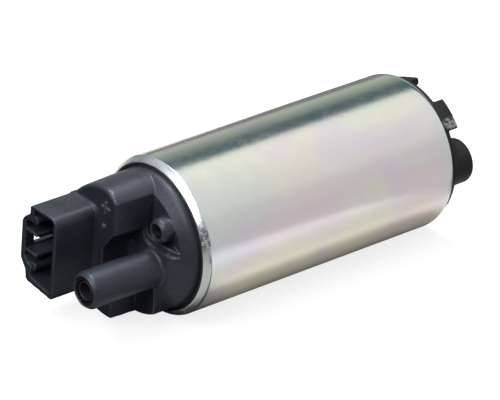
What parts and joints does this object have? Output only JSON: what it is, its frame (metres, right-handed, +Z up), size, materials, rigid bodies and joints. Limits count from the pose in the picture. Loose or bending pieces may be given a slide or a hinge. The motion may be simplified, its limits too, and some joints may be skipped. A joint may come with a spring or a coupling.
{
  "type": "electric fuel pump",
  "caption": "In-tank turbine fuel pump: rolled steel shell, black moulded cover with hose nipple, relief valve nub and keyed connector, and a dark inlet cover with an offset boss.",
  "frame": {"origin": "on the pump's axis, half way along the steel shell", "axes": "+X along the axis towards the outlet and connector; the connector is towards -Y and the hose nipple towards +Y; +Z square to both; the pump lies on its side with Z up"},
  "size_m": [0.1082, 0.038, 0.038],
  "materials": {
    "plated_steel": "zinc plated with a pale iridescent passivation, satin",
    "black_moulding": "moulded, fine grained satin",
    "dark_casting": "cast and hard anodised, dark",
    "casing": "cast, satin",
    "ring_black": "moulded, satin",
    "tin_brass": "tinned, bright",
    "ferrite": "sintered, matt",
    "enamelled_copper": "enamelled, glossy",
    "copper": "bare, bright",
    "brown_moulding": "moulded, matt",
    "tan_moulding": "moulded, matt",
    "carbon": "pressed carbon, dull",
    "spring_steel": "drawn wire, bright",
    "bronze": "sintered, oiled",
    "ground_steel": "ground, polished",
    "lamination": "stacked and lacquered, satin",
    "natural_moulding": "moulded, natural",
    "valve_rubber": "moulded, matt"
  },
  "bodies": {
    "housing": {"housing_shell": "plated_steel", "outlet_cover": "black_moulding", "terminal_positive": "tin_brass", "terminal_negative": "tin_brass", "choke_cores": "ferrite", "choke_coil_positive": "enamelled_copper", "choke_coil_negative": "enamelled_copper", "brush_holder": "tan_moulding", "brush_spring_positive": "spring_steel", "brush_spring_negative": "spring_steel", "brush_lead_positive": "copper", "brush_lead_negative": "copper", "upper_bearing": "bronze", "lower_bearing": "bronze", "magnet_upper": "ferrite", "magnet_lower": "ferrite", "magnet_spring": "spring_steel", "magnet_stop": "natural_moulding", "pump_casing": "casing", "inlet_cover": "dark_casting", "thrust_pad": "natural_moulding", "check_valve_spring": "spring_steel", "check_valve_retainer": "ring_black", "relief_valve_spring": "spring_steel", "relief_valve_retainer": "ring_black"},
    "rotor": {"rotor_shaft": "ground_steel", "armature_core": "lamination", "armature_windings": "enamelled_copper", "commutator_base": "brown_moulding", "commutator_bars": "copper", "commutator_carbons": "carbon", "impeller": "brown_moulding"},
    "check_valve": {"check_valve_poppet": "valve_rubber"},
    "relief_valve": {"relief_valve_ball": "ground_steel"},
    "brush_a": {"brush_positive": "carbon"},
    "brush_b": {"brush_negative": "carbon"}
  },
  "joints": [
    {"name": "rotor_spin", "type": "hinge", "parent": "housing", "child": "rotor", "pos_m": [0, 0, 0], "axis": [1, 0, 0], "continuous": true},
    {"name": "check_valve_lift", "type": "slide", "parent": "housing", "child": "check_valve", "axis": [1, 0, 0], "range_m": [0, 0.002], "stiffness_N_per_m": 80, "springref_m": -0.002, "deforming": ["check_valve_spring"]},
    {"name": "relief_valve_lift", "type": "slide", "parent": "housing", "child": "relief_valve", "axis": [1, 0, 0], "range_m": [0, 0.0008], "stiffness_N_per_m": 900, "springref_m": -0.003, "deforming": ["relief_valve_spring"]},
    {"name": "brush_positive_slide", "type": "slide", "parent": "housing", "child": "brush_a", "axis": [1, 0, 0], "range_m": [0, 0.002], "stiffness_N_per_m": 250, "springref_m": -0.004, "deforming": ["brush_spring_positive", "brush_lead_positive"]},
    {"name": "brush_negative_slide", "type": "slide", "parent": "housing", "child": "brush_b", "axis": [1, 0, 0], "range_m": [0, 0.002], "stiffness_N_per_m": 250, "springref_m": -0.004, "deforming": ["brush_spring_negative", "brush_lead_negative"]}
  ]
}
